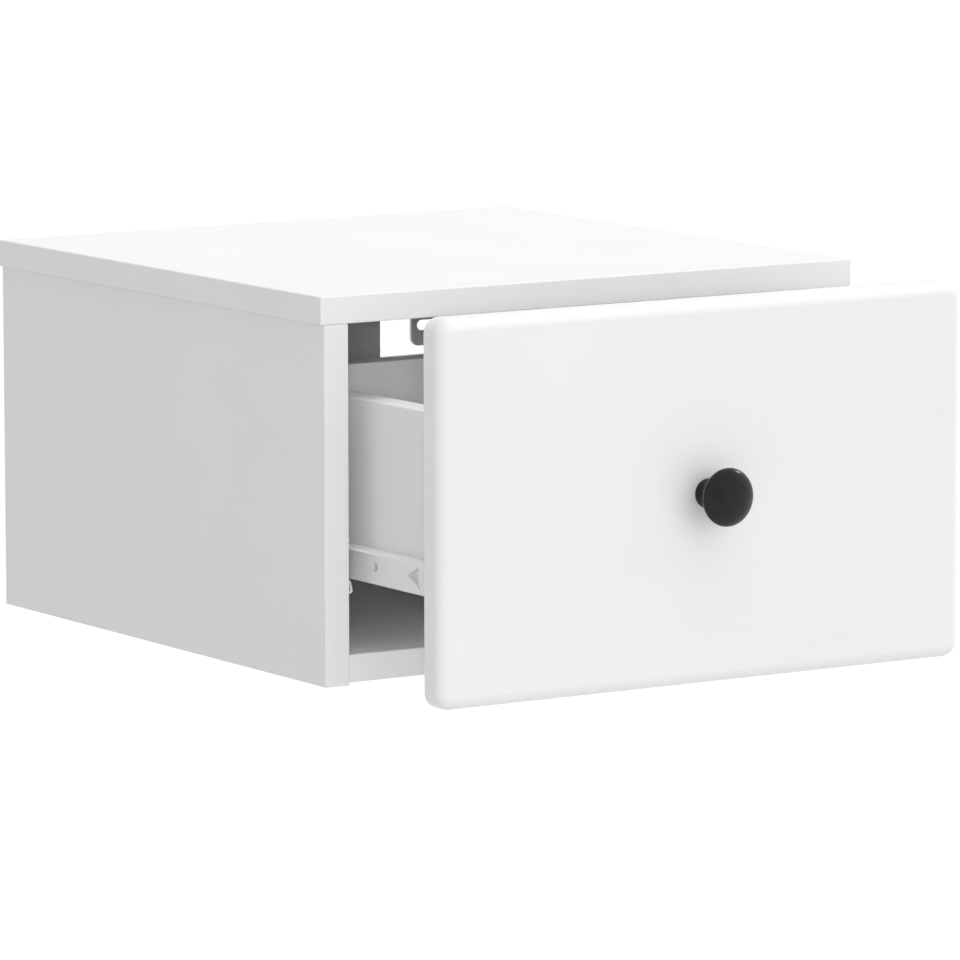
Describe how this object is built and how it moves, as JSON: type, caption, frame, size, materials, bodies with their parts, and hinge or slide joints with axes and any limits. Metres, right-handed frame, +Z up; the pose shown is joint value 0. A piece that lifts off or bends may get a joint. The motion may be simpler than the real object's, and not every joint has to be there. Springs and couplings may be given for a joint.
{
  "type": "floating nightstand",
  "caption": "Wall-hung white nightstand with a full-width drawer on roller runners, a round black knob and slotted steel wall brackets in the cut-away upper rear corners.",
  "frame": {"origin": "middle of the back panel's rear face, on the wall plane, halfway up the cabinet", "axes": "+Y into the wall, +Z up, +X to the right as seen from the room; the drawer opens towards -Y"},
  "size_m": [0.34, 0.4811, 0.207],
  "materials": {
    "white_board": "particle board with a satin white melamine face and matching edge band",
    "white_lacquer": "fibreboard with a satin white wrapped face and rounded edges",
    "white_fibreboard": "thin fibreboard painted white",
    "coated_steel": "rolled steel with a white powder coat",
    "plated_steel": "zinc-plated steel",
    "cast_zinc": "die-cast zinc, tumbled",
    "white_nylon": "moulded nylon",
    "black_lacquer": "satin black lacquer"
  },
  "bodies": {
    "cabinet": {"side_panel_left": "white_board", "side_panel_right": "white_board", "top_panel": "white_board", "bottom_panel": "white_board", "back_panel": "white_board", "front_top_cam_lock_left": "cast_zinc", "front_top_cam_lock_right": "cast_zinc", "rear_top_cam_lock_left": "cast_zinc", "rear_top_cam_lock_right": "cast_zinc", "bottom_cam_lock_left": "cast_zinc", "bottom_cam_lock_right": "cast_zinc", "back_cam_lock_left": "cast_zinc", "back_cam_lock_right": "cast_zinc", "front_top_cam_bolt_left": "plated_steel", "front_top_cam_bolt_right": "plated_steel", "rear_top_cam_bolt_left": "plated_steel", "rear_top_cam_bolt_right": "plated_steel", "bottom_cam_bolt_left": "plated_steel", "bottom_cam_bolt_right": "plated_steel", "back_cam_bolt_left": "plated_steel", "back_cam_bolt_right": "plated_steel", "wall_bracket_left": "coated_steel", "wall_bracket_right": "coated_steel", "lower_bracket_screw_left": "plated_steel", "lower_bracket_screw_right": "plated_steel", "upper_bracket_screw_left": "plated_steel", "upper_bracket_screw_right": "plated_steel", "cabinet_runner_left": "coated_steel", "cabinet_runner_right": "coated_steel", "front_cabinet_runner_screw_left": "plated_steel", "front_cabinet_runner_screw_right": "plated_steel", "rear_cabinet_runner_screw_left": "plated_steel", "rear_cabinet_runner_screw_right": "plated_steel", "front_roller_axle_left": "plated_steel", "front_roller_axle_right": "plated_steel"},
    "drawer": {"drawer_front": "white_lacquer", "drawer_side_left": "white_board", "drawer_side_right": "white_board", "drawer_back": "white_board", "drawer_bottom": "white_fibreboard", "drawer_cam_lock_left": "cast_zinc", "drawer_cam_lock_right": "cast_zinc", "drawer_cam_bolt_left": "plated_steel", "drawer_cam_bolt_right": "plated_steel", "drawer_back_screw_left": "plated_steel", "drawer_back_screw_right": "plated_steel", "drawer_runner_left": "coated_steel", "drawer_runner_right": "coated_steel", "front_drawer_runner_screw_left": "plated_steel", "front_drawer_runner_screw_right": "plated_steel", "rear_drawer_runner_screw_left": "plated_steel", "rear_drawer_runner_screw_right": "plated_steel", "rear_roller_axle_left": "plated_steel", "rear_roller_axle_right": "plated_steel", "knob": "black_lacquer", "knob_bolt": "plated_steel"},
    "front_wheel_left": {"front_roller_left": "white_nylon"},
    "front_wheel_right": {"front_roller_right": "white_nylon"},
    "rear_wheel_left": {"rear_roller_left": "white_nylon"},
    "rear_wheel_right": {"rear_roller_right": "white_nylon"}
  },
  "joints": [
    {"name": "drawer_slide", "type": "slide", "parent": "cabinet", "child": "drawer", "axis": [0, -1, 0], "range_m": [-0.0925, 0.0975]},
    {"name": "front_roller_left_spin", "type": "hinge", "parent": "cabinet", "child": "front_wheel_left", "pos_m": [-0.1471, -0.319, -0.04358], "axis": [1, 0, 0], "continuous": true},
    {"name": "front_roller_right_spin", "type": "hinge", "parent": "cabinet", "child": "front_wheel_right", "pos_m": [0.1471, -0.319, -0.04358], "axis": [1, 0, 0], "continuous": true},
    {"name": "rear_roller_left_spin", "type": "hinge", "parent": "drawer", "child": "rear_wheel_left", "pos_m": [-0.1471, -0.19685, -0.04408], "axis": [1, 0, 0], "continuous": true},
    {"name": "rear_roller_right_spin", "type": "hinge", "parent": "drawer", "child": "rear_wheel_right", "pos_m": [0.1471, -0.19685, -0.04408], "axis": [1, 0, 0], "continuous": true}
  ],
  "couplings": [
    {"joint": "front_roller_left_spin", "follows": "drawer_slide", "rad_per_m": 86.957},
    {"joint": "front_roller_right_spin", "follows": "drawer_slide", "rad_per_m": 86.957},
    {"joint": "rear_roller_left_spin", "follows": "drawer_slide", "rad_per_m": 86.957},
    {"joint": "rear_roller_right_spin", "follows": "drawer_slide", "rad_per_m": 86.957}
  ]
}
